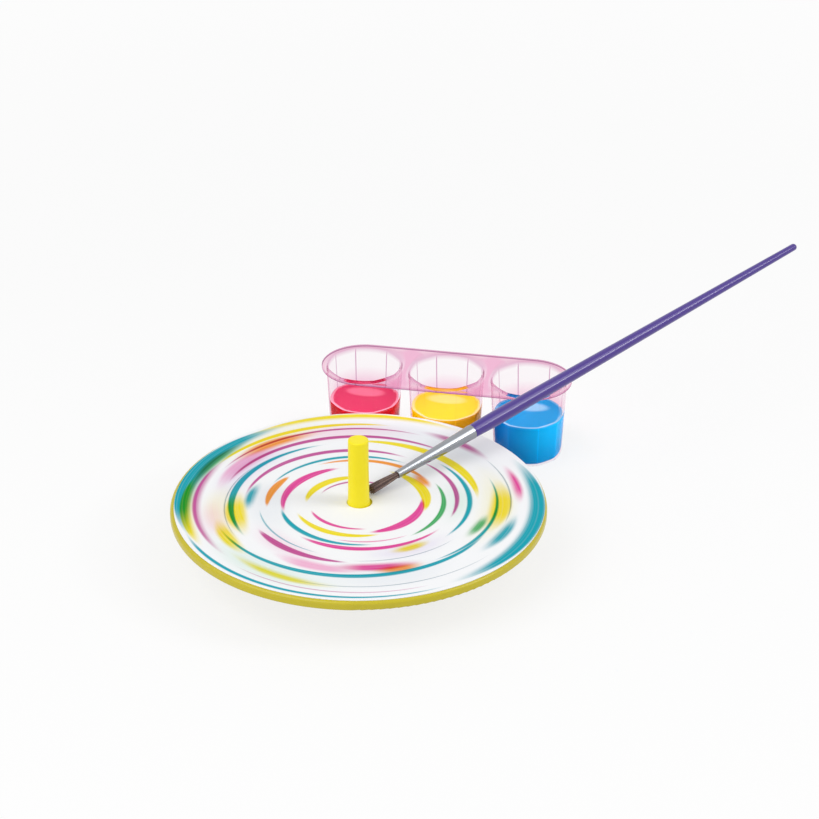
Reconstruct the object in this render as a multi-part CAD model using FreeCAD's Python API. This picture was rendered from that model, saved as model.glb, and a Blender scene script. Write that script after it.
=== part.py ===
# A spin art machine that is twirled by hand, with its strip of paint cups and its brush.
# A round plate turns on a steel spindle in a low weighted stand. A post in the middle of
# the plate is twirled between two fingers, and a card with a hole lies over the post.
# Beside it stand three clear cups of paint in one strip, and the brush rests with its
# hairs on the card and its handle on the rim of the cups.
#
# Millimetres and degrees, +Z up, the table is z = 0 and the spindle stands on the Z axis.
import FreeCAD, Part
import math
import os

V = FreeCAD.Vector
UP = V(0, 0, 1)

# Stand
pad_thick = 1.6
pad_margin = 1.2
pad_hole_margin = 0.8
pad_chamfer = 0.4
weight_chamfer = 0.5
cover_thick = 2.2
cover_clear = 0.2
skirt_lift = 0.8
stand_height = 16.8
stand_foot_r = 44.0
stand_top_r = 41.0
stand_wall = 2.2
stand_deck = 2.2
stand_edge_fillet = 2.4
foot_band_height = 3.6
foot_band_step = 0.9
foot_band_fillet = 0.7
stand_rib_count = 6
stand_rib_start = 30.0
stand_rib_thick = 1.6
weight_thick = 6.0
weight_r_in = 18.0
weight_r_out = 32.6
weight_clear = 0.1

# Screws that hold the cover
screw_count = 3
screw_circle_r = 36.6
screw_shank_r = 1.25
screw_head_r = 2.7
screw_head_height = 1.3
screw_bite = 7.0
screw_head_round = 0.65
screw_slot_length = 3.5
screw_slot_width = 0.8
screw_slot_depth = 0.7
boss_wall = 2.0

# Spindle and its bearing
spindle_r = 2.5
spindle_end_gap = 1.8
spindle_chamfer = 0.5
spindle_in_post = 16.0
spindle_tip_gap = 0.5
running_clear = 0.05
bush_wall = 2.0
bush_length = 7.8
bush_flange_r = 7.5
bush_flange_thick = 1.0
bush_boss_wall = 3.2
bush_boss_short = 0.4
thrust_washer_r = 7.0
thrust_washer_thick = 0.6
washer_clear = 0.15
end_play = 0.3
clip_washer_r = 4.8
clip_washer_thick = 0.5
clip_r = 4.6
clip_thick = 0.6
groove_depth = 0.6
clip_mouth = 3.2
clip_notch_r = 0.9
clip_notch_out = 0.4
clip_notch_angles = (-72.0, 72.0, 180.0)

# Turntable plate
plate_r = 78.0
plate_thick = 4.0
plate_skin = 2.0
plate_rim_width = 2.4
plate_top_fillet = 1.4
plate_under_fillet = 1.0
hub_r = 8.5
hub_drop = 1.2
rib_thick = 1.4
rib_short = 0.6
ring_rib_radii = (30.0, 54.0)
plate_rib_count = 8
plate_rib_start = 22.5

# Post that the fingers twirl
post_foot_r = 4.5
post_top_r = 4.25
post_height = 29.9
post_straight = 14.0
post_collar_r = 4.8
post_collar_height = 1.8
post_top_fillet = 0.6
hex_across_flats = 7.0
hex_depth = 1.6
hex_clear = 0.05

# Card
card_r = 76.8
card_hole_r = 5.3
card_thick = 0.4
card_slip = 0.35

# Strip of cups
tray_x = 38.9
tray_y = 91.9
tray_turn = -12.0
tray_height = 36.5
cup_count = 3
cup_pitch = 36.6
cup_corner_r = 17.1
cup_draft = 3.0
cup_wall = 0.9
cup_floor = 1.0
cup_wide_facet = 52.0
cup_bulge = 0.975
cup_bottom_round = 2.4
cup_inner_round = 1.6
cup_round_steps = 5
flange_half_width = 18.8
flange_thick = 1.2
flange_fillet = 0.35
paint_below_rim = 17.0
paint_clear = 0.12

# Brush
brush_tip_x = 4.2
brush_tip_y = 4.6
brush_rest_gap = 0.35
brush_on_rim = 1.6
brush_length = 255.0
hair_length = 15.5
hair_tip_r = 2.2
hair_root_r = 1.6
hair_in_ferrule = 6.5
hair_tip_round = 0.7
hair_flare = 4.0
glue_length = 8.0
ferrule_length = 42.0
ferrule_wall = 0.35
ferrule_small_r = 1.7
ferrule_big_r = 3.15
handle_tenon = 13.0
handle_tenon_clear = 0.05
handle_neck_r = 3.0
handle_belly_r = 3.3
handle_belly_at = 18.0
handle_end_r = 1.6

# Heights that follow from the sizes above
cover_top_z = pad_thick + cover_thick
deck_under_z = stand_height - stand_deck
bush_bottom_z = stand_height - bush_length
hub_bottom_z = stand_height + bush_flange_thick + thrust_washer_thick
plate_under_z = hub_bottom_z + hub_drop
plate_top_z = plate_under_z + plate_thick
skin_under_z = plate_top_z - plate_skin
card_top_z = plate_top_z + card_thick
clip_washer_z = bush_bottom_z - end_play - clip_washer_thick
clip_z = clip_washer_z - clip_thick
spindle_bottom_z = cover_top_z + spindle_end_gap
spindle_top_z = plate_top_z + spindle_in_post
groove_r = spindle_r - groove_depth
bush_bore_r = spindle_r + running_clear
bush_r = bush_bore_r + bush_wall
paint_top_z = tray_height - paint_below_rim


def cylinder(radius, z_low, z_high, x=0.0, y=0.0):
    """A round bar that stands on z_low at x, y."""
    return Part.makeCylinder(radius, z_high - z_low, V(x, y, z_low), UP)


def ring(r_out, r_in, z_low, z_high, x=0.0, y=0.0):
    """A bar with a round hole through it."""
    return cylinder(r_out, z_low, z_high, x, y).cut(cylinder(r_in, z_low - 1, z_high + 1, x, y))


def spoke(r_from, r_to, thick, z_low, z_high, angle):
    """A flat rib that runs outwards from the Z axis at an angle."""
    bar = Part.makeBox(r_to - r_from, thick, z_high - z_low, V(r_from, -thick / 2, z_low))
    bar.rotate(V(0, 0, 0), UP, angle)
    return bar


def edges_at(shape, z, radius):
    """The circular edges of a shape that lie at height z with this radius."""
    found = []
    for edge in shape.Edges:
        if edge.Curve.TypeId != "Part::GeomCircle":
            continue
        if abs(edge.Curve.Center.z - z) < 1e-4 and abs(edge.Curve.Radius - radius) < 1e-4:
            found.append(edge)
    return found


def revolved(edges):
    """A solid of revolution about Z from edges that close a profile in the XZ plane."""
    return Part.Face(Part.Wire(edges)).revolve(V(0, 0, 0), UP, 360)


def line(a, b):
    """A straight profile edge between two points given as radius and height."""
    return Part.LineSegment(V(a[0], 0, a[1]), V(b[0], 0, b[1])).toShape()


def arc(a, middle, b):
    """A profile edge along the circle through three points given as radius and height."""
    points = [V(p[0], 0, p[1]) for p in (a, middle, b)]
    return Part.Arc(*points).toShape()


def around(count, start=0.0):
    """Evenly spaced angles in degrees."""
    return [start + 360.0 * i / count for i in range(count)]


def polar(radius, angle):
    """The x and y of a point at an angle in degrees."""
    return radius * math.cos(math.radians(angle)), radius * math.sin(math.radians(angle))


# Stand

def stand_outer_r(z):
    """Radius of the sloping side of the stand at height z."""
    upper_foot_r = stand_foot_r - foot_band_step
    share = (z - skirt_lift) / (stand_height - skirt_lift)
    return upper_foot_r + (stand_top_r - upper_foot_r) * share


cover_r = stand_outer_r(skirt_lift) - stand_wall - cover_clear
screw_angles = around(screw_count, 90.0)


def make_non_slip_pad():
    """Rubber disc that the stand rests on, with holes over the screws."""
    pad = cylinder(cover_r - pad_margin, 0, pad_thick)
    pad = pad.makeChamfer(pad_chamfer, edges_at(pad, 0, cover_r - pad_margin))
    for angle in screw_angles:
        x, y = polar(screw_circle_r, angle)
        pad = pad.cut(cylinder(screw_head_r + pad_hole_margin, -1, pad_thick + 1, x, y))
    return pad


def make_base_cover():
    """Plate that closes the stand from below."""
    cover = cylinder(cover_r, pad_thick, cover_top_z)
    for angle in screw_angles:
        x, y = polar(screw_circle_r, angle)
        cover = cover.cut(cylinder(screw_shank_r + running_clear, 0, cover_top_z + 1, x, y))
    return cover


def make_cover_screw(angle):
    """Self-tapping screw with a pan head and a cross slot."""
    x, y = polar(screw_circle_r, angle)
    head_z = pad_thick - screw_head_height
    head = cylinder(screw_head_r, head_z, pad_thick, x, y)
    head = head.makeFillet(screw_head_round, edges_at(head, head_z, screw_head_r))
    for size_x, size_y in ((screw_slot_length, screw_slot_width), (screw_slot_width, screw_slot_length)):
        corner = V(x - size_x / 2, y - size_y / 2, head_z - 1)
        head = head.cut(Part.makeBox(size_x, size_y, 1 + screw_slot_depth, corner))
    shank = cylinder(screw_shank_r, pad_thick, cover_top_z + screw_bite, x, y)
    return head.fuse(shank).removeSplitter()


def make_base_weight():
    """Steel ring that keeps the stand down under the wide plate."""
    top_z = cover_top_z + weight_thick
    weight = ring(weight_r_out, weight_r_in, cover_top_z, top_z)
    return weight.makeChamfer(weight_chamfer, edges_at(weight, top_z, weight_r_out))


def make_base_shell():
    """Moulded stand with the bearing boss, the ribs over the weight and the screw bosses."""
    side_r = stand_outer_r(skirt_lift)
    height = stand_height - skirt_lift
    shell = Part.makeCone(side_r, stand_top_r, height, V(0, 0, skirt_lift), UP)
    shell = shell.makeFillet(stand_edge_fillet, edges_at(shell, stand_height, stand_top_r))
    band_top = skirt_lift + foot_band_height
    band = cylinder(stand_foot_r, skirt_lift, band_top)
    band = band.makeFillet(foot_band_fillet, edges_at(band, band_top, stand_foot_r))
    shell = shell.fuse(band)
    inner_top_r = stand_outer_r(deck_under_z) - stand_wall
    inner = Part.makeCone(side_r - stand_wall, inner_top_r, deck_under_z - skirt_lift,
                          V(0, 0, skirt_lift), UP)
    inner = inner.fuse(cylinder(side_r - stand_wall, skirt_lift - 1, cover_top_z))
    shell = shell.cut(inner)
    boss_r = bush_r + bush_boss_wall
    shell = shell.fuse(cylinder(boss_r, bush_bottom_z + bush_boss_short, stand_height))
    weight_top_z = cover_top_z + weight_thick + weight_clear
    for angle in around(stand_rib_count, stand_rib_start):
        shell = shell.fuse(spoke(boss_r - 0.5, inner_top_r + 0.5, stand_rib_thick,
                                 weight_top_z, deck_under_z + 0.5, angle))
    for angle in screw_angles:
        x, y = polar(screw_circle_r, angle)
        shell = shell.fuse(cylinder(screw_shank_r + boss_wall, cover_top_z, stand_height - 1, x, y))
        shell = shell.fuse(spoke(screw_circle_r, side_r - stand_wall / 2, stand_rib_thick,
                                 cover_top_z, deck_under_z + 0.5, angle))
    for angle in screw_angles:
        x, y = polar(screw_circle_r, angle)
        shell = shell.cut(cylinder(screw_shank_r, 0, cover_top_z + screw_bite + 1, x, y))
    shell = shell.cut(cylinder(bush_r, 0, stand_height + 1))
    return shell.removeSplitter()


# Bearing

def make_bearing_bush():
    """Flanged plastic bush, pressed into the stand from above."""
    bush = cylinder(bush_r, bush_bottom_z, stand_height)
    bush = bush.fuse(cylinder(bush_flange_r, stand_height, stand_height + bush_flange_thick))
    return bush.cut(cylinder(bush_bore_r, 0, stand_height + bush_flange_thick + 1)).removeSplitter()


def make_thrust_washer():
    """Washer between the bush and the hub of the plate."""
    return ring(thrust_washer_r, spindle_r + washer_clear,
                stand_height + bush_flange_thick, hub_bottom_z)


def make_spindle():
    """Steel pin, fixed in the plate and the post, with a groove for the clip."""
    spindle = cylinder(spindle_r, spindle_bottom_z, spindle_top_z - spindle_tip_gap)
    for z in (spindle_bottom_z, spindle_top_z - spindle_tip_gap):
        spindle = spindle.makeChamfer(spindle_chamfer, edges_at(spindle, z, spindle_r))
    return spindle.cut(ring(spindle_r + 1, groove_r, clip_z, clip_z + clip_thick))


def make_clip_washer():
    """Thin washer that the clip holds under the bush."""
    return ring(clip_washer_r, spindle_r + washer_clear,
                clip_washer_z, clip_washer_z + clip_washer_thick)


def make_retaining_clip():
    """Spring clip that snaps into the groove from the side."""
    clip = ring(clip_r, groove_r, clip_z, clip_z + clip_thick)
    corner = V(0, -clip_mouth / 2, clip_z - 1)
    clip = clip.cut(Part.makeBox(clip_r + 1, clip_mouth, clip_thick + 2, corner))
    for angle in clip_notch_angles:
        x, y = polar(groove_r + clip_notch_out, angle)
        clip = clip.cut(cylinder(clip_notch_r, clip_z - 1, clip_z + clip_thick + 1, x, y))
    return clip


# Turntable

def make_hexagon(across_flats, z_low, z_high):
    """Six-sided bar on the Z axis."""
    corner_r = across_flats / math.sqrt(3)
    corners = [V(*polar(corner_r, angle), z_low) for angle in around(6)]
    face = Part.Face(Part.makePolygon(corners + corners[:1]))
    return face.extrude(V(0, 0, z_high - z_low))


def make_turntable_plate():
    """Plate with a rolled edge, and ribs and a hub on its underside."""
    plate = cylinder(plate_r, plate_under_z, plate_top_z)
    plate = plate.makeFillet(plate_top_fillet, edges_at(plate, plate_top_z, plate_r))
    plate = plate.makeFillet(plate_under_fillet, edges_at(plate, plate_under_z, plate_r))
    plate = plate.cut(cylinder(plate_r - plate_rim_width, plate_under_z - 1, skin_under_z))
    rib_z = plate_under_z + rib_short
    for radius in ring_rib_radii:
        plate = plate.fuse(ring(radius + rib_thick / 2, radius - rib_thick / 2,
                                rib_z, skin_under_z + 0.2))
    for angle in around(plate_rib_count, plate_rib_start):
        plate = plate.fuse(spoke(hub_r - 0.5, plate_r - plate_rim_width + 0.5, rib_thick,
                                 rib_z, skin_under_z + 0.2, angle))
    plate = plate.fuse(cylinder(hub_r, hub_bottom_z, skin_under_z + 0.2))
    plate = plate.cut(cylinder(spindle_r, 0, plate_top_z + 1))
    socket = make_hexagon(hex_across_flats + 2 * hex_clear, plate_top_z - hex_depth, plate_top_z + 1)
    return plate.cut(socket).removeSplitter()


def make_twirl_post():
    """Post that the fingers twirl, keyed into the plate by its hexagonal foot."""
    top_z = plate_top_z + post_height
    straight_z = top_z - post_straight
    taper_height = straight_z - plate_top_z
    post = Part.makeCone(post_foot_r, post_top_r, taper_height, V(0, 0, plate_top_z), UP)
    top = cylinder(post_top_r, straight_z, top_z)
    top = top.makeFillet(post_top_fillet, edges_at(top, top_z, post_top_r))
    collar = Part.makeCone(post_collar_r, post_foot_r, post_collar_height, V(0, 0, plate_top_z), UP)
    foot = make_hexagon(hex_across_flats, plate_top_z - hex_depth, plate_top_z)
    post = post.fuse([top, collar, foot])
    return post.cut(cylinder(spindle_r, plate_top_z - hex_depth - 1, spindle_top_z)).removeSplitter()


def make_art_card():
    """Round card with a hole, dropped over the post and slipped a little to one side."""
    return ring(card_r, card_hole_r, plate_top_z, card_top_z, card_slip, 0)


# Strip of cups

def tray_place(shape):
    """Moves a shape from the strip's own axes to where the strip stands."""
    shape.rotate(V(0, 0, 0), UP, tray_turn)
    shape.translate(V(tray_x, tray_y, 0))
    return shape


def cup_centres():
    """Positions of the cups along the strip."""
    middle = (cup_count - 1) / 2
    return [cup_pitch * (i - middle) for i in range(cup_count)]


def cup_corner_at(z):
    """Outer corner radius of a cup at height z."""
    return cup_corner_r - (tray_height - z) * math.tan(math.radians(cup_draft))


def cup_section(corner_r, z, centre):
    """Eight bowed sides, wide ones facing along and across the strip and narrow ones between."""
    half = cup_wide_facet / 2
    corner_angles = []
    for quarter in around(4):
        corner_angles += [quarter - half, quarter + half]
    corner_angles.append(360.0 - half)
    edges = []
    for a, b in zip(corner_angles, corner_angles[1:]):
        ends = [V(*polar(corner_r, angle), z) for angle in (a, b)]
        middle = V(*polar(corner_r * cup_bulge, (a + b) / 2), z)
        edges.append(Part.Arc(ends[0], middle, ends[1]).toShape())
    wire = Part.Wire(edges)
    wire.translate(V(centre, 0, 0))
    return wire


def cup_body(inset, z_low, z_high, centre, bottom_round):
    """A cup's form, smaller by inset on every side, with its bottom edge rolled up in steps."""
    sections = []
    for step in range(cup_round_steps + 1):
        angle = math.radians(90.0 * step / cup_round_steps)
        z = z_low + bottom_round * (1 - math.cos(angle))
        corner_r = cup_corner_at(z) - inset - bottom_round * (1 - math.sin(angle))
        sections.append(cup_section(corner_r, z, centre))
    sections.append(cup_section(cup_corner_at(z_high) - inset, z_high, centre))
    return Part.makeLoft(sections, True, True)


def make_cup_strip():
    """Three clear cups under one flange, moulded in one piece."""
    end = cup_centres()[-1]
    flange_z = tray_height - flange_thick
    flange = Part.makeBox(2 * end, 2 * flange_half_width, flange_thick,
                          V(-end, -flange_half_width, flange_z))
    for x in (-end, end):
        flange = flange.fuse(cylinder(flange_half_width, flange_z, tray_height, x, 0))
    flange = flange.removeSplitter()
    rim = [e for e in flange.Edges if e.BoundBox.ZLength < 1e-4]
    strip = flange.makeFillet(flange_fillet, rim)
    for centre in cup_centres():
        strip = strip.fuse(cup_body(0, 0, tray_height - flange_thick / 2, centre, cup_bottom_round))
    for centre in cup_centres():
        strip = strip.cut(cup_body(cup_wall, cup_floor, tray_height + 1, centre, cup_inner_round))
    return tray_place(strip.removeSplitter())


def make_paint(index):
    """The paint in one cup, up to its level."""
    inset = cup_wall + paint_clear
    return tray_place(cup_body(inset, cup_floor + paint_clear, paint_top_z,
                               cup_centres()[index], cup_inner_round))


# Brush, built along Z from the tip of its hairs and then laid in place

brush_tip_z = card_top_z + hair_tip_r + brush_rest_gap
ferrule_start = hair_length
ferrule_end = hair_length + ferrule_length
belly_at = ferrule_end + handle_belly_at
taper_end = brush_length - handle_end_r


def ferrule_r(s):
    """Outer radius of the ferrule at a distance s from the tip."""
    return ferrule_small_r + (ferrule_big_r - ferrule_small_r) * (s - ferrule_start) / ferrule_length


def handle_r(s):
    """Radius of the handle beyond its belly at a distance s from the tip."""
    return handle_belly_r + (handle_end_r - handle_belly_r) * (s - belly_at) / (taper_end - belly_at)


def brush_direction():
    """The line from the tip over the front of the rim of the last cup."""
    end_x, end_y = polar(cup_centres()[-1], tray_turn)
    to_end = V(tray_x + end_x - brush_tip_x, tray_y + end_y - brush_tip_y, 0)
    reach = flange_half_width - brush_on_rim
    heading = math.atan2(to_end.y, to_end.x) - math.asin(reach / to_end.Length)
    to_rim = math.sqrt(to_end.Length ** 2 - reach ** 2)
    to_rim -= math.sqrt(flange_half_width ** 2 - reach ** 2)
    rise = tray_height + brush_rest_gap + handle_r(to_rim) - brush_tip_z
    return V(math.cos(heading) * to_rim, math.sin(heading) * to_rim, rise).normalize()


def brush_place(shape):
    """Lays a piece of the brush in its place."""
    turn = FreeCAD.Rotation(UP, brush_direction())
    shape.Placement = FreeCAD.Placement(V(brush_tip_x, brush_tip_y, brush_tip_z), turn)
    return shape


def make_brush_bristles():
    """The bundle of hairs, blunt at its tip and narrow where the ferrule holds it."""
    root = ferrule_start + hair_in_ferrule
    gripped_r = ferrule_small_r - ferrule_wall
    corner = (hair_tip_r, hair_tip_round)
    mouth = (hair_root_r, ferrule_start - hair_flare / 4)
    edges = [
        line((0, 0), (hair_tip_r - hair_tip_round, 0)),
        arc((hair_tip_r - hair_tip_round, 0),
            (hair_tip_r - hair_tip_round * 0.293, hair_tip_round * 0.293), corner),
        line(corner, (hair_tip_r, hair_flare)),
        line((hair_tip_r, hair_flare), mouth),
        line(mouth, (gripped_r, ferrule_start)),
        line((gripped_r, ferrule_start), (gripped_r, root)),
        line((gripped_r, root), (0, root)),
        line((0, root), (0, 0)),
    ]
    return brush_place(revolved(edges))


def make_bristle_glue():
    """Plug of glue that holds the hairs together inside the ferrule."""
    low = ferrule_start + hair_in_ferrule
    high = low + glue_length
    low_r = ferrule_small_r - ferrule_wall
    high_r = ferrule_r(high) - ferrule_wall
    edges = [
        line((0, low), (low_r, low)),
        line((low_r, low), (high_r, high)),
        line((high_r, high), (0, high)),
        line((0, high), (0, low)),
    ]
    return brush_place(revolved(edges))


def make_brush_ferrule():
    """Drawn aluminium tube that widens from the hairs to the handle."""
    root = ferrule_start + hair_in_ferrule
    gripped_r = ferrule_small_r - ferrule_wall
    edges = [
        line((gripped_r, ferrule_start), (ferrule_small_r, ferrule_start)),
        line((ferrule_small_r, ferrule_start), (ferrule_big_r, ferrule_end)),
        line((ferrule_big_r, ferrule_end), (ferrule_big_r - ferrule_wall, ferrule_end)),
        line((ferrule_big_r - ferrule_wall, ferrule_end), (ferrule_r(root) - ferrule_wall, root)),
        line((ferrule_r(root) - ferrule_wall, root), (gripped_r, root)),
        line((gripped_r, root), (gripped_r, ferrule_start)),
    ]
    return brush_place(revolved(edges))


def make_brush_handle():
    """Lacquered wooden handle with a tenon in the ferrule, a belly and a long taper."""
    tenon_start = ferrule_end - handle_tenon
    tenon_low_r = ferrule_r(tenon_start) - ferrule_wall - handle_tenon_clear
    tenon_high_r = ferrule_big_r - ferrule_wall - handle_tenon_clear
    neck_mid = (ferrule_end + belly_at) / 2
    neck_mid_r = (handle_neck_r + 3 * handle_belly_r) / 4
    tip_side = (handle_end_r * math.cos(math.radians(45)),
                taper_end + handle_end_r * math.sin(math.radians(45)))
    edges = [
        line((0, tenon_start), (tenon_low_r, tenon_start)),
        line((tenon_low_r, tenon_start), (tenon_high_r, ferrule_end)),
        line((tenon_high_r, ferrule_end), (handle_neck_r, ferrule_end)),
        arc((handle_neck_r, ferrule_end), (neck_mid_r, neck_mid), (handle_belly_r, belly_at)),
        line((handle_belly_r, belly_at), (handle_end_r, taper_end)),
        arc((handle_end_r, taper_end), tip_side, (0, brush_length)),
        line((0, brush_length), (0, tenon_start)),
    ]
    return brush_place(revolved(edges))


# All pieces

def make_pieces():
    """Every piece of the set by its name."""
    pieces = {
        "non_slip_pad": make_non_slip_pad(),
        "base_cover": make_base_cover(),
        "cover_screws": Part.makeCompound([make_cover_screw(angle) for angle in screw_angles]),
        "base_weight": make_base_weight(),
        "base_shell": make_base_shell(),
        "bearing_bush": make_bearing_bush(),
        "thrust_washer": make_thrust_washer(),
        "spindle": make_spindle(),
        "clip_washer": make_clip_washer(),
        "retaining_clip": make_retaining_clip(),
        "turntable_plate": make_turntable_plate(),
        "twirl_post": make_twirl_post(),
        "art_card": make_art_card(),
        "cup_strip": make_cup_strip(),
        "brush_bristles": make_brush_bristles(),
        "bristle_glue": make_bristle_glue(),
        "brush_ferrule": make_brush_ferrule(),
        "brush_handle": make_brush_handle(),
    }
    for index, colour in enumerate(("red", "yellow", "blue")):
        pieces["paint_" + colour] = make_paint(index)
    return pieces


def main():
    """Writes one file for each piece."""
    os.makedirs("parts", exist_ok=True)
    for name, shape in make_pieces().items():
        assert shape.isValid(), name
        shape.exportStep("parts/" + name + ".step")
        print(name, len(shape.Solids), "solids", round(shape.Volume, 1), "mm3")
    print("brush direction", brush_direction())


main()
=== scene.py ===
import math

import bmesh
import bpy
import numpy as np
from bpy.props import FloatProperty, FloatVectorProperty, IntProperty, PointerProperty
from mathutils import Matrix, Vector


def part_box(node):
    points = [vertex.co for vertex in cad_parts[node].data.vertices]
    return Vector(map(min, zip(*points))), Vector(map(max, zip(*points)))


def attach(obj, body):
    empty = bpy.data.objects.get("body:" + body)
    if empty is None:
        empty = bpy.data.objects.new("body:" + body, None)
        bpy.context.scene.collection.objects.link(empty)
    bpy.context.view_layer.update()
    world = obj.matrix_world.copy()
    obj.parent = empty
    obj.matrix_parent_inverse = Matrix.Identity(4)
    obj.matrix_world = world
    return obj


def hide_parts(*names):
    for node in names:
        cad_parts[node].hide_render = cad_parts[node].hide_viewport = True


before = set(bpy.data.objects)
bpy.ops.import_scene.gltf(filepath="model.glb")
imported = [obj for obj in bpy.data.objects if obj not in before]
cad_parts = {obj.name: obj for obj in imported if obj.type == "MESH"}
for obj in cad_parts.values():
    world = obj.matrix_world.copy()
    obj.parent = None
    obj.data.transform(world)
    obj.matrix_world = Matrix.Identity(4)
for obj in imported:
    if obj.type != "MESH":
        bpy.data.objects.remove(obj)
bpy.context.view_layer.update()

bl_info = {
    "name": "Spin art machine",
    "version": (1, 0, 0),
    "blender": (4, 5, 0),
    "location": "View3D > Sidebar > Spin art",
    "description": "Dresses the solid parts of a spin art machine that is twirled by hand",
    "category": "Object",
}

MM = 0.001
SEAM_GAP = 2e-6
WHITE = (1.0, 1.0, 1.0, 1.0)
IMAGE_SIDE = 819
GOLDEN_ANGLE = math.pi * (3 - math.sqrt(5))


# Colours, nodes and meshes

def linear(hex_colour):
    """Linear red, green, blue and alpha of an sRGB hex colour."""
    value = int(hex_colour.lstrip("#"), 16)
    parts = [(value >> shift & 255) / 255 for shift in (16, 8, 0)]
    parts = [p / 12.92 if p <= 0.04045 else ((p + 0.055) / 1.055) ** 2.4 for p in parts]
    return (*parts, 1.0)


def add(tree, kind, inputs=None, **settings):
    """Adds a node with its settings, and gives each input a value or a link from another socket."""
    node = tree.nodes.new(kind)
    for name, value in settings.items():
        setattr(node, name, value)
    for name, value in (inputs or {}).items():
        if isinstance(value, bpy.types.NodeSocket):
            tree.links.new(value, node.inputs[name])
        else:
            node.inputs[name].default_value = value
    return node


def new_material(name):
    """An empty node material and its tree."""
    material = bpy.data.materials.new(name)
    material.use_nodes = True
    material.node_tree.nodes.clear()
    return material, material.node_tree


def output(tree, **shaders):
    """Sends the finished shaders to the surface and the volume."""
    add(tree, "ShaderNodeOutputMaterial", shaders)


def principled(tree, inputs):
    """Sends a principled shader with these inputs to the surface."""
    output(tree, Surface=add(tree, "ShaderNodeBsdfPrincipled", inputs).outputs["BSDF"])


def ramp(tree, factor, stops):
    """A colour ramp with (position, colour) stops."""
    node = add(tree, "ShaderNodeValToRGB", {"Fac": factor})
    elements = node.color_ramp.elements
    while len(elements) < len(stops):
        elements.new(0.5)
    for element, (position, colour) in zip(elements, stops):
        element.position = position
        element.color = colour
    return node.outputs["Color"]


def object_place(tree):
    """Places in the object's own metres."""
    return add(tree, "ShaderNodeTexCoord").outputs["Object"]


def noise(tree, size, detail=3.0, stretch=(1.0, 1.0, 1.0), uv_map=None):
    """Noise whose lumps are about size metres wide, longer along an axis with a stretch over 1, on
    the object's own places or on those of a UV map."""
    place = add(tree, "ShaderNodeUVMap", uv_map=uv_map).outputs["UV"] if uv_map else object_place(tree)
    scale = tuple(1 / (size * s) for s in stretch)
    scaled = add(tree, "ShaderNodeMapping", {"Vector": place, "Scale": scale}).outputs["Vector"]
    node = add(tree, "ShaderNodeTexNoise", {"Vector": scaled, "Scale": 1.0, "Detail": detail})
    return node.outputs["Fac"]


def spread(tree, value, low, high, start=0.3, end=0.7):
    """Maps start to end, which holds most of a noise, onto low to high."""
    node = add(tree, "ShaderNodeMapRange",
               {"Value": value, "From Min": start, "From Max": end, "To Min": low, "To Max": high})
    return node.outputs["Result"]


def shaded(tree, colour, factor, darkest):
    """A colour multiplied by a grey between darkest and white. The mix node's two colours are its
    inputs 6 and 7, and its mixed colour is output 2."""
    grey = ramp(tree, factor, [(0.3, (darkest, darkest, darkest, 1.0)), (0.7, WHITE)])
    mix = add(tree, "ShaderNodeMix", {"Factor": 1.0, 6: colour, 7: grey},
              data_type="RGBA", blend_type="MULTIPLY")
    return mix.outputs[2]


def attribute(tree, name, kind="Color"):
    """A colour or a number stored with the mesh."""
    return add(tree, "ShaderNodeAttribute", attribute_name=name).outputs[kind]


def bump(tree, height, distance, strength=1.0):
    """Normals that show height as relief of that distance in metres."""
    node = add(tree, "ShaderNodeBump", {"Height": height, "Distance": distance, "Strength": strength})
    return node.outputs["Normal"]


def grid_faces(rows, columns, loop_rows=False):
    """Quads of a grid numbered row by row. Rows run round, and looped rows join last to first."""
    row, column = np.meshgrid(np.arange(rows - (not loop_rows)), np.arange(columns), indexing="ij")
    start, next_start = row * columns, (row + 1) % rows * columns
    right = (column + 1) % columns
    return np.stack([start + column, start + right, next_start + right, next_start + column],
                    axis=-1).reshape(-1, 4)


def facing_out(points, quads):
    """The quads, turned round if the closed surface's volume, a sum of a.(b x c) / 6, is negative."""
    a, b, c, d = points[quads].swapaxes(0, 1)
    volume = np.sum(a * np.cross(b, c)) + np.sum(a * np.cross(c, d))
    return quads if volume > 0 else quads[:, ::-1]


def new_object(name, data):
    """An object with this data, in the scene."""
    thing = bpy.data.objects.new(name, data)
    bpy.context.scene.collection.objects.link(thing)
    return thing


def make_object(name, points, quads, material, body, node, values=None):
    """A closed smooth piece from points in metres and quads, in place of one solid part.
    Points that coincide are merged, which closes seams and poles."""
    mesh = bpy.data.meshes.new(name)
    mesh.from_pydata(points.tolist(), [], facing_out(points, quads).tolist())
    for key, data in (values or {}).items():
        kind = "FLOAT_COLOR" if data.ndim == 2 else "FLOAT"
        attribute = mesh.attributes.new(key, kind, "POINT")
        attribute.data.foreach_set("color" if data.ndim == 2 else "value",
                                   data.astype(np.float32).ravel())
    merge = bmesh.new()
    merge.from_mesh(mesh)
    bmesh.ops.remove_doubles(merge, verts=merge.verts, dist=SEAM_GAP)
    bmesh.ops.delete(merge, geom=[v for v in merge.verts if not v.link_faces], context="VERTS")
    merge.to_mesh(mesh)
    merge.free()
    mesh.shade_smooth()
    mesh.materials.append(material)
    piece = new_object(name, mesh)
    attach(piece, body)
    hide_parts(node)
    return piece


def finish(material, *nodes):
    """Gives solid parts that stay in view their finish."""
    for node in nodes:
        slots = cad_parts[node].material_slots
        if not slots:
            raise RuntimeError(node + " has no material slot")
        for slot in slots:
            slot.material = material


def smooth(value):
    """0 below 0, 1 above 1, and 3v^2 - 2v^3 between."""
    value = np.clip(value, 0.0, 1.0)
    return value * value * (3 - 2 * value)


def mixed(a, b, share):
    """Colours between a and b, at each place by its share of b."""
    share = np.asarray(share)[..., None]
    return np.asarray(a) * (1 - share) + np.asarray(b) * share


def unit(values):
    """The vector scaled to length 1."""
    return np.array(values) / np.linalg.norm(values)


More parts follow.
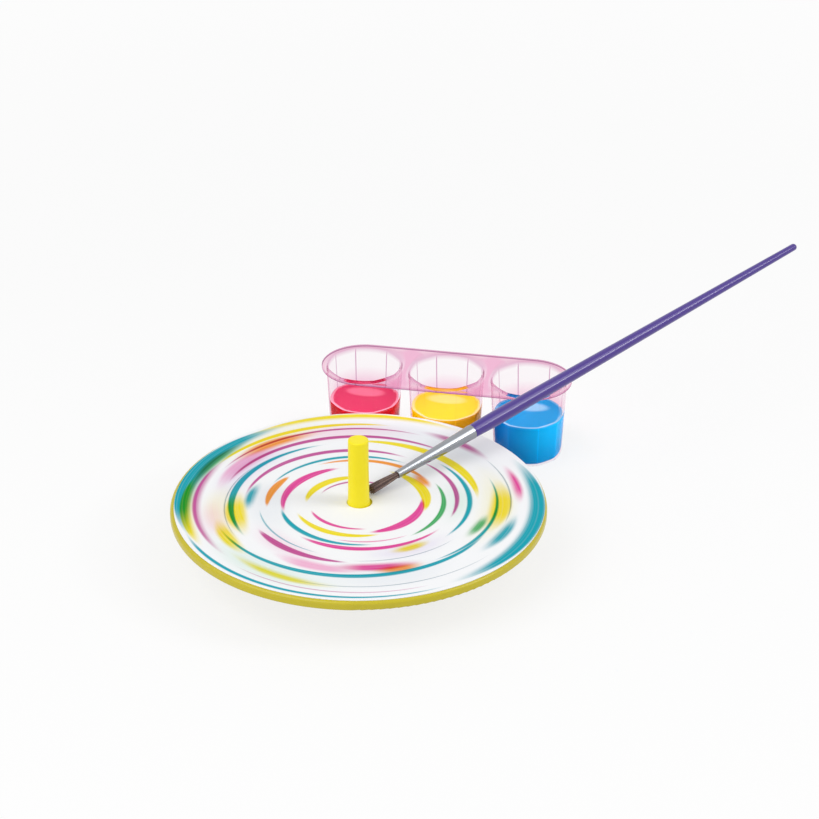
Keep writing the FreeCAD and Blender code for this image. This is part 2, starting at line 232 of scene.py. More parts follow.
def on_circle(radius, angle, *height):
    """Points at a radius and an angle round the middle, and at a height if there is one."""
    return np.stack([radius * np.cos(angle), radius * np.sin(angle), *height], axis=-1)


# Sizes and colours that a user would change

class CardSettings(bpy.types.PropertyGroup):
    """The white card and the paint on it."""
    hole_radius: FloatProperty(
        name="Hole", description="Radius of the hole for the post", default=5.3 * MM, unit="LENGTH")
    relief: FloatProperty(
        name="Paint thickness", description="Height of the dried streaks above the card",
        default=0.06 * MM, unit="LENGTH")
    colour: FloatVectorProperty(
        name="Card", description="Colour of the bare card", subtype="COLOR", size=4,
        default=linear("#f8f9fb"))


class PlasticSettings(bpy.types.PropertyGroup):
    """The yellow mouldings."""
    post_colour: FloatVectorProperty(
        name="Post", description="Colour of the twirling post", subtype="COLOR", size=4,
        default=linear("#fdec14"))
    # A darker, more olive yellow than the post: partly the plate's own tone, partly painted shade for its
    # rim
    plate_colour: FloatVectorProperty(
        name="Plate", description="Colour of the turntable plate and the stand", subtype="COLOR", size=4,
        default=linear("#c9ba28"))


class CupSettings(bpy.types.PropertyGroup):
    """The strip of clear cups."""
    corner_radius: FloatProperty(
        name="Corner radius", description="Reach of a cup's outer corners, at the rim",
        default=17.1 * MM, unit="LENGTH")
    draft: FloatProperty(
        name="Draft", description="Slope of the cup walls", default=math.radians(3.0), unit="ROTATION")
    wall: FloatProperty(
        name="Wall", description="Thickness of the cup walls", default=0.9 * MM, unit="LENGTH")
    pitch: FloatProperty(
        name="Pitch", description="Distance between the middles of two cups", default=36.6 * MM,
        unit="LENGTH")
    density: FloatProperty(
        name="Tint", description="How fast the plastic takes up light on its way through, per metre",
        default=48.0, min=0.0)


class BrushSettings(bpy.types.PropertyGroup):
    """The round brush."""
    hairs: IntProperty(name="Hairs", description="Number of hairs in the bundle", default=420, min=1)
    hair_radius: FloatProperty(
        name="Hair radius", description="Thickest radius of a hair, coarser than real so that it shows",
        default=0.11 * MM, unit="LENGTH")
    lacquer: FloatVectorProperty(
        name="Lacquer", description="Colour of the handle", subtype="COLOR", size=4,
        default=linear("#43288a"))


class StageSettings(bpy.types.PropertyGroup):
    """Light and background."""
    room_level: FloatProperty(
        name="Room light", description="Brightness of the even light from all sides", default=0.45,
        min=0.0)
    key_level: FloatProperty(
        name="Main lamp", description="Brightness of the large lamp on the left", default=2.5, min=0.0)
    top_level: FloatProperty(
        name="Top lamp", description="Brightness of the lamp above on the right", default=2.4, min=0.0)
    glint_level: FloatProperty(
        name="Glint lamp", description="Brightness of the small lamp on the right", default=12.0, min=0.0)


class SpinArtSettings(bpy.types.PropertyGroup):
    """All settings of the spin art machine."""
    card: PointerProperty(type=CardSettings)
    plastic: PointerProperty(type=PlasticSettings)
    cups: PointerProperty(type=CupSettings)
    brush: PointerProperty(type=BrushSettings)
    stage: PointerProperty(type=StageSettings)


# Finishes

def moulded_polystyrene(name, colour, roughness):
    """Moulded polystyrene, semi-gloss: an even colour, a soft highlight and the faint
    unevenness that a polished mould leaves."""
    material, tree = new_material(name)
    cloud = noise(tree, 9 * MM, 2.0)
    skin = noise(tree, 2.5 * MM, 2.0)
    principled(tree, {
        "Base Color": shaded(tree, colour, cloud, 0.97),
        "Roughness": spread(tree, cloud, roughness - 0.03, roughness + 0.04),
        "Specular IOR Level": 0.35,
        "Normal": bump(tree, skin, 0.01 * MM, 0.3),
    })
    return material


def coated_card():
    """Coated white card with thrown poster paint: the card is smooth and dull, the dried paint
    a little glossy, with faint fine lines round the middle where the paint was flung."""
    material, tree = new_material("coated_card_with_paint")
    colour = attribute(tree, "paint_colour")
    cover = attribute(tree, "paint_cover", "Fac")
    fibre = noise(tree, 0.5 * MM, 3.0)
    principled(tree, {
        "Base Color": shaded(tree, colour, fibre, 0.985),
        "Roughness": spread(tree, cover, 0.5, 0.3, 0.0, 1.0),
        "Specular IOR Level": 0.06,
        "Normal": bump(tree, fibre, 0.01 * MM, 0.4),
    })
    return material


def clear_pink_styrene(density):
    """Clear polystyrene with a little pink dye: nearly invisible walls, a pink flange and thin mauve
    outlines. The outlines come partly from light that goes a long way through, and partly from painted
    mauve lines in the tint at the corners, rims, seams and lips, which stand in for refracted and grazing
    light. Its IOR is far under the real 1.59, because thin walls would otherwise trap light and turn black,
    and lamps shine through it onto the paint."""
    material, tree = new_material("clear_pink_styrene")
    flow = noise(tree, 7 * MM, 1.0)
    styrene = add(tree, "ShaderNodeBsdfPrincipled", {
        "Base Color": attribute(tree, "tint"),
        "Roughness": 0.03,
        "IOR": 1.03,
        "Transmission Weight": 1.0,
        "Normal": bump(tree, flow, 0.03 * MM, 0.2),
    })
    clear = add(tree, "ShaderNodeBsdfTransparent", {"Color": linear("#fbf3f8")})
    for_lamps = add(tree, "ShaderNodeLightPath").outputs["Is Shadow Ray"]
    surface = add(tree, "ShaderNodeMixShader",
                  {0: for_lamps, 1: styrene.outputs["BSDF"], 2: clear.outputs["BSDF"]})
    dye = add(tree, "ShaderNodeVolumeAbsorption", {"Color": linear("#e79cc4"), "Density": density})
    output(tree, Surface=surface.outputs["Shader"], Volume=dye.outputs["Volume"])
    return material


def poster_paint(name):
    """Liquid poster paint: opaque and wet. Its colour is a tone stored with the mesh, which holds painted
    light and shade: paler on top as painted light, a painted highlight ring where it climbs the wall, and
    deeper painted shade where it is seen through the side."""
    material, tree = new_material(name)
    swirl = noise(tree, 5 * MM, 4.0)
    principled(tree, {
        "Base Color": shaded(tree, attribute(tree, "tone"), swirl, 0.94),
        "Roughness": 0.14,
        "Specular IOR Level": 0.1,
        "Normal": bump(tree, swirl, 0.08 * MM, 0.5),
    })
    return material


def lacquered_wood(colour):
    """Turned wood under thick gloss lacquer: a deep colour with a long bright line of light
    and slight waves along the handle."""
    material, tree = new_material("purple_lacquer")
    grain = noise(tree, 0.5 * MM, 3.0, (1.0, 30.0, 1.0), "metres")
    wave = noise(tree, 3 * MM, 1.0, (1.0, 6.0, 1.0), "metres")
    principled(tree, {
        "Base Color": shaded(tree, colour, grain, 0.9),
        "Roughness": 0.5,
        "Specular IOR Level": 0.1,
        "Coat Weight": 1.0,
        "Coat Roughness": 0.22,
        "Coat IOR": 1.5,
        "Normal": bump(tree, wave, 0.02 * MM, 0.4),
    })
    return material


def drawn_aluminium():
    """Drawn and polished aluminium tube, with fine lines along the tube that stretch each highlight across
    it. Its base is a mid grey, far darker than bare aluminium: painted shade that stands in for dark
    surroundings in its reflection, so that it shows bright mainly where it mirrors the lamps."""
    material, tree = new_material("drawn_aluminium")
    lines = noise(tree, 0.12 * MM, 2.0, (1.0, 80.0, 1.0), "metres")
    smear = noise(tree, 2 * MM, 2.0, (1.0, 3.0, 1.0), "metres")
    principled(tree, {
        # Painted shade: a grey far darker than bare aluminium
        "Base Color": shaded(tree, linear("#9fa2a7"), lines, 0.86),
        "Metallic": 1.0,
        "Roughness": spread(tree, smear, 0.15, 0.22),
        "Normal": bump(tree, lines, 0.01 * MM, 0.5),
    })
    return material


def animal_hair():
    """Dark brown animal hair: each hair a little lighter or darker than the next, with a dull sheen."""
    material, tree = new_material("brown_hair")
    tones = [(0.0, linear("#2a1c18")), (0.5, linear("#6d5149")), (1.0, linear("#b3978a"))]
    colour = ramp(tree, attribute(tree, "tone", "Fac"), tones)
    principled(tree, {"Base Color": colour, "Roughness": 0.42, "IOR": 1.55})
    return material


def plain_metal(name, colour, roughness, line_size):
    """Turned or plated steel: grey with fine marks of the tool and a dull shine."""
    material, tree = new_material(name)
    marks = noise(tree, line_size, 3.0, (6.0, 6.0, 1.0))
    principled(tree, {
        "Base Color": shaded(tree, colour, marks, 0.85),
        "Metallic": 1.0,
        "Roughness": spread(tree, marks, roughness - 0.05, roughness + 0.08),
        "Normal": bump(tree, marks, 0.01 * MM, 0.5),
    })
    return material


def rubber(colour):
    """Moulded black rubber: matt, with a fine grain that grips the table."""
    material, tree = new_material("black_rubber")
    grain = noise(tree, 0.6 * MM, 3.0)
    principled(tree, {
        "Base Color": shaded(tree, colour, grain, 0.8),
        "Roughness": spread(tree, grain, 0.75, 0.9),
        "Normal": bump(tree, grain, 0.05 * MM, 0.6),
    })
    return material


def cured_glue():
    """Cured amber glue: clear brown and glossy, with small bubbles."""
    material, tree = new_material("amber_glue")
    bubbles = noise(tree, 0.4 * MM, 2.0)
    principled(tree, {
        "Base Color": shaded(tree, linear("#c08a3c"), bubbles, 0.7),
        "Roughness": 0.2,
        "IOR": 1.5,
        "Transmission Weight": 0.4,
    })
    return material


# Card with thrown paint

CARD_ROWS = 256
CARD_COLUMNS = 360
CARD_EDGE = 0.08 * MM
GROOVES_PER_MM = (3.1, 5.3, 8.9)
GROOVE_DEPTH = 0.12
PAINTS = {
    "teal": "#00a6b6", "magenta": "#e8479c", "mauve": "#c8589c", "yellow": "#f7e21c",
    "orange": "#f89a33", "green": "#3fae62", "slate": "#6f8f9c", "lilac": "#d8c3ea",
    "rose": "#f8b7d6", "lemon": "#f9efa0", "mint": "#bfe6cf", "cloud": "#e4eaf0",
}
# Inner and outer softness in mm, softness of the ends and strength of each kind of streak
STREAK_KINDS = {
    # Haze: faint wide pastel and grey clouds, painted reflection over the card that adds no paint cover
    "haze": (9.0, 8.0, 0.45, 0.38),
    "blur": (3.4, 2.2, 0.4, 0.95),
    "band": (3.6, 0.9, 0.24, 1.0),
    "arc": (0.5, 0.7, 0.14, 1.0),
    "line": (0.35, 0.35, 0.15, 0.75),
}
# Streaks by kind and paint: radius mm, start and sweep in degrees, width mm, drift outwards mm and,
# where it isn't halfway, the place of the thickest part
STREAKS = (
    # Painted reflection: faint wide haze over the card
    ("haze", "cloud", (36, 140, 90, 15, 4), (60, 10, 100, 14, 2), (58, 246, 70, 16, 2)),
    ("haze", "lilac", (54, 108, 78, 13, 3)),
    ("haze", "rose", (62, 58, 76, 10, -2), (45, 196, 66, 9, 3, 0.4)),
    ("haze", "mint", (65, 192, 84, 11, 1), (40, 326, 66, 10, 2)),
    ("haze", "lemon", (56, 312, 88, 13, 2), (66, 90, 66, 9, 1), (57, 158, 58, 13, 0)),
    ("haze", "rose", (60, 172, 40, 8, 3)),
    ("haze", "lilac", (42, 262, 70, 8, 3)),
    ("band", "teal", (73.4, 296, 96, 6.4, 0.4, 0.55), (73, 112, 92, 7.4, 0.6, 0.6)),
    ("band", "yellow", (74, 50, 84, 3.6, 0.4), (71.6, 158, 52, 4.6, 1)),
    ("band", "mauve", (67.4, 144, 76, 2.6, 1, 0.4)),
    ("arc", "teal", (74.6, 196, 104, 1.7, 0.2, 0.25), (60.6, 196, 142, 2.7, -3.5, 0.55),
     (51, 104, 108, 2.8, 3, 0.6), (55.6, 300, 82, 1.6, 2, 0.4), (37.5, 56, 104, 1.9, 2, 0.4),
     (32.5, 186, 96, 2.4, 2.4, 0.35), (45, 318, 88, 2.2, 1.4)),
    ("blur", "teal", (63, 318, 34, 4.2, 2.5), (44.5, 156, 34, 3.6, 2)),
    ("arc", "magenta", (25, 276, 92, 4.2, 1, 0.45), (29.5, 104, 92, 3.8, 2.6, 0.4),
     (36.5, 226, 102, 2.8, 3, 0.35)),
    ("arc", "mauve", (42, 58, 118, 2.6, 6, 0.45), (55, 44, 122, 2.5, 2.5),
     (46.5, 206, 60, 3.4, 2, 0.35), (62.5, 62, 94, 1.5, 1.5), (39.5, 338, 76, 2, 3, 0.4)),
    ("arc", "magenta", (21, 196, 84, 1.8, 1.2, 0.4)),
    ("arc", "mauve", (16.5, 40, 120, 1.2, 1)),
    ("blur", "magenta", (51.5, 254, 46, 5, 2)),
    ("blur", "rose", (58, 118, 54, 7, 2), (53, 226, 50, 5.4, 2, 0.4)),
    ("blur", "magenta", (66, 356, 32, 3.4, 2, 0.4)),
    ("blur", "mauve", (64.5, 30, 38, 3.8, 1)),
    ("arc", "yellow", (20.5, 84, 98, 3.8, 1.6), (27.5, 340, 86, 4.6, 0.8, 0.45),
     (27, 196, 94, 3, 0.6), (49, 0, 96, 4.2, 3, 0.4)),
    ("blur", "yellow", (57, 330, 50, 8.5, 3), (50.5, 166, 46, 8.5, 2.5),
     (59.5, 190, 34, 6, 2), (42, 284, 30, 4.2, 0.5)),
    ("arc", "yellow", (66.5, 76, 78, 2.6, 1.5)),
    ("blur", "yellow", (65, 214, 52, 3.6, 2.5)),
    ("arc", "orange", (33, 30, 92, 2.4, 3, 0.35), (36.5, 142, 44, 3.4, 2, 0.4)),
    ("blur", "orange", (61.5, 102, 48, 6, 2), (31, 18, 30, 4, 1), (55, 272, 28, 4.4, 0.5)),
    ("arc", "green", (34.5, 304, 84, 2.2, 0.6)),
    ("blur", "green", (70, 128, 46, 4.4, 1), (52, 324, 26, 3.6, 1.5)),
    ("line", "slate", (53.5, 140, 72, 0.5, 4), (47, 262, 62, 0.45, 2),
     (66.5, 240, 84, 0.45, 1), (62, 340, 56, 0.6, 2)),
    ("line", "mauve", (70.5, 222, 74, 0.6, 1)),
    ("line", "magenta", (31.5, 250, 58, 0.9, 2, 0.4)),
    ("line", "teal", (41.5, 186, 64, 0.8, 2.5, 0.4)),
)


def streak_cover(radius, angle, kind, streak):
    """Cover of one streak at each place: its middle line drifts outwards along its sweep, its width
    swells as a sine up to its thickest part and back, and its edges and ends fade softly."""
    middle, start, sweep, width, drift, thickest = (*streak, 0.5)[:6]
    soft_in, soft_out, soft_end, strength = STREAK_KINDS[kind]
    along = ((np.degrees(angle) - start) % 360) / sweep
    inside = along < 1
    along = np.clip(along, 0, 1)
    rise = np.where(along < thickest, along / thickest, (1 - along) / (1 - thickest))
    half = 0.5 * width * np.sin(0.5 * np.pi * rise) ** 0.8
    distance = radius / MM - (middle + drift * along)
    outer = smooth((half + soft_out / 2 - distance) / soft_out)
    inner = smooth((half + soft_in / 2 + distance) / soft_in)
    ends = smooth(along / soft_end) * smooth((1 - along) / soft_end)
    return inside * outer * inner * ends * strength * smooth(half / 0.12)


def paint_on_card(radius, angle, bare):
    """Colour and cover at each place: each streak lets only its own colour of the ones below through,
    so yellow under teal turns green. Fine rings vary every streak a little."""
    colour = np.ones(radius.shape + (3,)) * np.array(bare[:3])
    cover = np.zeros(radius.shape)
    draws = np.random.default_rng(7)
    for kind, paint, *streaks in STREAKS:
        for streak in streaks:
            phase = draws.uniform(0, 2 * np.pi, 3)
            grooves = sum(np.sin(radius / MM * f + phase[i] + np.sin(angle + phase[i]))
                          for i, f in enumerate(GROOVES_PER_MM)) / 3
            share = streak_cover(radius, angle, kind, streak)
            share = np.clip(share * (1 + GROOVE_DEPTH * grooves), 0, 1)
            colour *= 1 - share[..., None] * (1 - np.array(linear(PAINTS[paint])[:3]))
            # Haze streaks are painted reflection: they tint the card but add no paint cover
            if kind != "haze":
                cover = np.maximum(cover, share)
    return colour, cover


def card_surface(settings, low, high):
    """The card as a ring whose profile runs from the hole along the top to the rim, round the edge
    and back underneath. The top rises by the paint's thickness times its cover."""
    hole_r, outer_r, edge = settings.hole_radius, (high.x - low.x) / 2, CARD_EDGE
    top = np.linspace(hole_r + edge, outer_r - edge, CARD_ROWS)
    radius = np.concatenate([top, [outer_r, outer_r, outer_r - edge, hole_r + edge, hole_r, hole_r]])
    height = np.concatenate([np.full(CARD_ROWS, high.z), [high.z - edge, low.z + edge, low.z,
                                                          low.z, low.z + edge, high.z - edge]])
    angle = np.linspace(0, 2 * np.pi, CARD_COLUMNS, endpoint=False)
    radius, angle = np.meshgrid(radius, angle, indexing="ij")
    colour, cover = paint_on_card(radius, angle, settings.colour)
    is_top = np.arange(len(height)) < CARD_ROWS
    cover = cover * is_top[:, None]
    colour = np.where(is_top[:, None, None], colour, np.array(settings.colour[:3]))
    height = height[:, None] + settings.relief * cover
    points = on_circle(radius, angle, height) + ((low.x + high.x) / 2, (low.y + high.y) / 2, 0.0)
    colour = np.concatenate([colour, np.ones(colour.shape[:2] + (1,))], axis=-1)
    return points.reshape(-1, 3), grid_faces(len(is_top), CARD_COLUMNS, True), colour, cover


class SPINART_OT_card(bpy.types.Operator):
    """Make the white card with its streaks of thrown paint"""
    bl_idname = "spinart.card"
    bl_label = "Painted card"

    def execute(self, context):
        settings = context.scene.spin_art.card
        points, quads, colour, cover = card_surface(settings, *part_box("art_card"))
        make_object("painted_card", points, quads, coated_card(), "turntable", "art_card",
                    {"paint_colour": colour.reshape(-1, 4), "paint_cover": cover.ravel()})
        return {"FINISHED"}


# Turntable, stand and bearing

class SPINART_OT_solids(bpy.types.Operator):
    """Finish the plate, the post, the stand and the bearing"""
    bl_idname = "spinart.solids"
    bl_label = "Plate, post, stand and bearing"

    def execute(self, context):
        settings = context.scene.spin_art.plastic
        # The plate's darker yellow is partly painted shade for its rim
        finish(moulded_polystyrene("yellow_plate", settings.plate_colour, 0.3), "turntable_plate")
        finish(moulded_polystyrene("yellow_post", settings.post_colour, 0.36), "twirl_post")
        finish(moulded_polystyrene("yellow_stand", settings.plate_colour, 0.34), "base_shell", "base_cover")
        finish(moulded_polystyrene("white_acetal", linear("#ecebe6"), 0.4), "bearing_bush")
        finish(rubber(linear("#232323")), "non_slip_pad")
        finish(plain_metal("zinc_plate", linear("#c9cbd0"), 0.35, 0.3 * MM), "cover_screws")
        finish(plain_metal("turned_weight", linear("#8f9196"), 0.45, 0.4 * MM), "base_weight")
        finish(plain_metal("turned_steel", linear("#b4b6ba"), 0.28, 0.2 * MM),
               "spindle", "thrust_washer", "clip_washer", "retaining_clip")
        return {"FINISHED"}


# Cups

CUP_COUNT = 3
CUP_PLACE = (38.9 * MM, 91.9 * MM)
CUP_TURN = math.radians(-12.0)
WIDE_HALF = 26.0
NARROW_HALF = 19.0
FACET_BULGE = 0.975
CORNER_STEPS = (-1.2, -0.5, 0, 0.5, 1.2)
CORNER_LINE = 0.6
COLUMN_STEP = 4.2
CUP_FLOOR = 1.0 * MM
BOTTOM_ROUND = 2.4 * MM
INNER_ROUND = 1.6 * MM
FLANGE_HALF = 18.8 * MM
FLANGE_THICK = 1.2 * MM
RIM_ROUND = 0.35 * MM
UNDER_ROUND = 0.5 * MM
LIP_ROUND = 0.35 * MM
# Colour that light keeps when it goes in and out of the plastic, for each part of the cups. The corner,
# rim, seam and lip colours are painted mauve lines that stand in for refracted and grazing light, on top of
# the real absorption in the volume; the pink for the far walls is a painted reflection.
TINTS = {
    "wall": "#fffdfe", "corner": "#b06394", "painted_reflection": "#f0a9cc", "flange": "#f8d6e6",
    "web": "#f7c4de", "rim": "#dfa3c6", "seam": "#8d4f78", "lip": "#dda2c4",
}
# Painted reflection on the far walls: where its pink starts and how far down towards the paint it grows
PAINTED_REFLECTION_TOP = 27.5 * MM
PAINTED_REFLECTION_DEPTH = 8.0 * MM
# Strength of the painted corner lines on the near walls, as a share of their strength on the far walls
NEAR_CORNERS = 0.12


def from_side(degrees):
    """Signed turn from the middle of the nearest quarter side of a cup."""
    return (degrees + 45) % 90 - 45


def at_corner(degrees):
    """1 on the columns at and right beside a cup's corners."""
    return 1.0 * (np.abs(np.abs(from_side(degrees)) - WIDE_HALF) < CORNER_LINE)


def facet_shape(degrees):
    """Distance of a cup's outline from its middle, as a share of its corner radius. Each of the eight
    sides is an arc through its two corners and through FACET_BULGE at its middle: with the arc's
    centre at c on the middle's line, the distance is c cos a + sqrt(r^2 - c^2 sin^2 a)."""
    turn = from_side(degrees)
    wide = np.abs(turn) <= WIDE_HALF + 1e-9
    half = np.radians(np.where(wide, WIDE_HALF, NARROW_HALF))
    turn = np.radians(np.where(wide, turn, turn - 45 * np.sign(turn)))
    centre = (1 - FACET_BULGE ** 2) / (2 * np.cos(half) - 2 * FACET_BULGE)
    arc_r = FACET_BULGE - centre
    return centre * np.cos(turn) + np.sqrt(arc_r ** 2 - (centre * np.sin(turn)) ** 2)


def cup_angles(corner_direction):
    """Angles of the columns round a cup, in degrees: exact at the corners of its sides and where
    two cups' parts of the flange meet at its edge, with narrow steps beside each corner."""
    fixed = [quarter + side * WIDE_HALF + step for quarter in (0, 90, 180, 270)
             for side in (-1, 1) for step in CORNER_STEPS]
    fixed += [corner_direction, -corner_direction, 180 - corner_direction, corner_direction - 180]
    fixed = np.unique(np.round(np.array(fixed) % 360, 6))
    columns = []
    for a, b in zip(fixed, np.append(fixed[1:], fixed[0] + 360)):
        steps = max(1, round((b - a) / COLUMN_STEP))
        columns.append(a + (b - a) * np.arange(steps) / steps)
    return np.concatenate(columns) % 360


def cup_corner_r(settings, z, rim_z):
    """Corner radius at a height, from the rim down along the draft."""
    return settings.corner_radius - (rim_z - z) * math.tan(settings.draft)


def rolled_bottom(settings, inset, low_z, rim_z, round_r):
    """Corner radius and height of a bottom's rows, from its middle out and up its rolled edge."""
    turn = np.linspace(0, np.pi / 2, 7)
    height = low_z + round_r * (1 - np.cos(turn))
    corner_r = cup_corner_r(settings, height, rim_z) - inset - round_r * (1 - np.sin(turn))
    return [(corner_r[0] * share, low_z) for share in (0.0, 0.4, 0.8)] + list(zip(corner_r, height))


def cup_cell(settings, rim_z, index):
    """One cup with its part of the flange. Round the cup run the columns; the rows start at the middle
    of the bottom, run up the outer wall, out under the flange, round its edge, back over its top, down
    the inner wall and to the middle of the floor. Returns points, quads and tints."""
    half_cell = settings.pitch / 2
    flat_half = FLANGE_HALF - RIM_ROUND
    degrees = cup_angles(math.degrees(math.atan2(flat_half, half_cell)))
    turn = np.radians(degrees)
    out = np.stack([np.cos(turn), np.sin(turn)], axis=-1)
    shape = facet_shape(degrees)[:, None] * out

    to_end = index == np.where(out[:, 0] > 0, CUP_COUNT - 1, 0)
    with np.errstate(divide="ignore"):
        reach_x = half_cell / np.abs(out[:, 0])
        reach_y = flat_half / np.abs(out[:, 1])
    reach = np.where(to_end, flat_half, np.minimum(reach_x, reach_y))
    edge = reach[:, None] * out
    meets_next = ~to_end & (reach_x <= reach_y * (1 + 1e-7))
    straight = ~to_end & ~(reach_x < reach_y * (1 - 1e-7))
    edge_out = np.where(straight[:, None], np.stack([0 * turn, np.sign(out[:, 1])], -1), out)

    rows = []

    def section(corner_r, z, kind, to_edge=0.0):
        rows.append((corner_r * shape * (1 - to_edge) + edge * to_edge, z, kind))

    def rim(turn_up, z_flat, side, kind):
        rows.append((edge + edge_out * RIM_ROUND * math.sin(turn_up),
                     z_flat + side * RIM_ROUND * (1 - math.cos(turn_up)), kind))

    for corner_r, z in rolled_bottom(settings, 0.0, 0.0, rim_z, BOTTOM_ROUND):
        section(corner_r, z, "wall")
    under_z = rim_z - FLANGE_THICK
    for z in np.linspace(BOTTOM_ROUND, under_z - UNDER_ROUND, 14)[1:]:
        section(cup_corner_r(settings, z, rim_z), z, "wall")
    wall_r = cup_corner_r(settings, under_z - UNDER_ROUND, rim_z)
    for turn_up in np.linspace(0, np.pi / 2, 5)[1:]:
        section(wall_r + UNDER_ROUND * (1 - math.cos(turn_up)),
                under_z - UNDER_ROUND * (1 - math.sin(turn_up)), "wall")
    under_r = wall_r + UNDER_ROUND
    section(under_r, under_z, "flange", 0.5)
    section(under_r, under_z, "flange", 1.0)
    first_rim = len(rows)
    for turn_up in np.radians((30, 60, 90)):
        rim(turn_up, under_z, 1, "seam")
    for turn_up in np.radians((90, 60, 30)):
        rim(turn_up, rim_z, -1, "rim")
    last_rim = len(rows)
    lip_r = settings.corner_radius - settings.wall
    section(lip_r + LIP_ROUND, rim_z, "flange", 1.0)
    section(lip_r + LIP_ROUND, rim_z, "flange", 0.5)
    for turn_down in np.linspace(0, np.pi / 2, 5):
        section(lip_r + LIP_ROUND * (1 - math.sin(turn_down)),
                rim_z - LIP_ROUND * (1 - math.cos(turn_down)), "lip")
    for z in np.linspace(rim_z - LIP_ROUND, CUP_FLOOR + INNER_ROUND, 16)[1:-1]:
        section(cup_corner_r(settings, z, rim_z) - settings.wall, z, "inner")
    for corner_r, z in rolled_bottom(settings, settings.wall, CUP_FLOOR, rim_z, INNER_ROUND)[::-1]:
        section(corner_r, z, "inner")

    places, heights, kinds = zip(*rows)
    points = np.zeros((len(rows), len(turn), 3))
    points[:, :, :2] = np.stack(places)
    points[:, :, 2] = np.array(heights)[:, None]
    points[:, :, 0] += (index - (CUP_COUNT - 1) / 2) * settings.pitch

    quads = grid_faces(len(rows), len(turn))
    row, column = quads[:, 0] // len(turn), quads[:, 0] % len(turn)
    joined = meets_next[column] & meets_next[(column + 1) % len(turn)]
    in_rim = (row >= first_rim - 1) & (row < last_rim)
    quads = quads[~(joined & in_rim)]

    tint = np.zeros(points.shape[:2] + (4,))
    # Share of each column that faces the far side of the strip, where the painted reflection and the
    # strongest painted corner lines go
    away = smooth((out[:, 1] + 0.1) / 0.7)
    for i, kind in enumerate(kinds):
        # The rim, seam and lip rows take painted mauve lines from their tints
        tint[i] = linear(TINTS["wall" if kind == "inner" else kind])
        if kind == "inner":
            # Painted reflection: the far walls turn pink downwards towards the paint
            painted_reflection = away * np.clip((PAINTED_REFLECTION_TOP - heights[i]) / PAINTED_REFLECTION_DEPTH, 0, 1)
            tint[i] = mixed(tint[i], linear(TINTS["painted_reflection"]), painted_reflection)
            # Painted mauve lines at the corners, strongest on the far walls
            line = at_corner(degrees) * (NEAR_CORNERS + (1 - NEAR_CORNERS) * away)
            tint[i] = mixed(tint[i], linear(TINTS["corner"]), line)
        if kind == "flange":
            tint[i, meets_next] = linear(TINTS["web"])
    return points.reshape(-1, 3), quads, tint.reshape(-1, 4)


def on_table(points):
    """Turns and moves points from the strip's own axes to where the strip stands."""
    x, y, z = points.T
    cos, sin = math.cos(CUP_TURN), math.sin(CUP_TURN)
    return np.stack([CUP_PLACE[0] + x * cos - y * sin, CUP_PLACE[1] + x * sin + y * cos, z], axis=-1)


class SPINART_OT_cups(bpy.types.Operator):
    """Make the strip of clear cups"""
    bl_idname = "spinart.cups"
    bl_label = "Cups"

    def execute(self, context):
        settings = context.scene.spin_art.cups
        rim_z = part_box("cup_strip")[1].z
        cells = [cup_cell(settings, rim_z, index) for index in range(CUP_COUNT)]
        offsets = np.cumsum([0] + [len(cell[0]) for cell in cells[:-1]])
        points = on_table(np.concatenate([cell[0] for cell in cells]))
        quads = np.concatenate([cell[1] + offset for cell, offset in zip(cells, offsets)])
        tint = np.concatenate([cell[2] for cell in cells])
        make_object("clear_cup_strip", points, quads, clear_pink_styrene(settings.density),
                    "paint_tray", "cup_strip", {"tint": tint})
        return {"FINISHED"}


# Paint in the cups

PAINT_CLIMB = 0.35 * MM
CLIMB_FALL = 0.6 * MM
PAINT_OVERLAP = 0.05 * MM
# Painted highlight: width and softness of a pale ring on each paint's top along the wall
HIGHLIGHT_RING_WIDTH = 1.5 * MM
HIGHLIGHT_RING_SOFT = 0.5 * MM
# Painted highlight: place, half size and strength of a soft oval gleam on each paint's top, as shares of
# the wall's radius
GLEAM_PLACE = (-0.05, 0.36)
GLEAM_HALF = (0.56, 0.26)
GLEAM_SHARE = 0.75
# Painted shade: how much darker each paint's side turns towards the bottom
PAINTED_SHADE_LOW = (0.62, 0.62, 0.7, 1.0)
# Colours of each paint, with painted light and shade in them: its side on the left and on the right, one
# lit and one shaded, its top, lit from above, the painted gleam there, its painted highlight ring
PAINT_TONES = {
    "red": ("#b00c18", "#cf1a26", "#d12f5b", "#ee7a96", "#f9aabf"),
    "yellow": ("#f4c404", "#cc8f08", "#f9dc28", "#fdee8c", "#fdf0a4"),
    "blue": ("#0062b0", "#00b0ee", "#0d9ada", "#a8daf4", "#9ad2f2"),
}


def paint_profile(settings, rim_z, top_z):
    """Radius and height of a paint's rows: out along its bottom, up its side, and back along its top,
    which stands higher at the wall by PAINT_CLIMB times e^(-distance / CLIMB_FALL). Its side reaches
    PAINT_OVERLAP into the wall, so that no air shows between them."""
    inset = settings.wall - PAINT_OVERLAP
    bottom = rolled_bottom(settings, inset, CUP_FLOOR - PAINT_OVERLAP, rim_z, INNER_ROUND)
    side_z = np.linspace(bottom[-1][1], top_z + PAINT_CLIMB, 14)[1:]
    side_r = cup_corner_r(settings, side_z, rim_z) - inset
    distance = np.array([0.12, 0.3, 0.5, 0.75, 1.0, 1.3, 1.7, 2.2]) * MM
    top_r = np.concatenate([side_r[-1] - distance, (side_r[-1] - distance[-1]) * np.linspace(1, 0, 14)[1:]])
    climb = PAINT_CLIMB * np.exp(-(side_r[-1] - top_r) / CLIMB_FALL)
    rows = np.array(bottom + list(zip(side_r, side_z)))
    return np.concatenate([rows, np.stack([top_r, top_z + climb], axis=-1)]), len(rows)


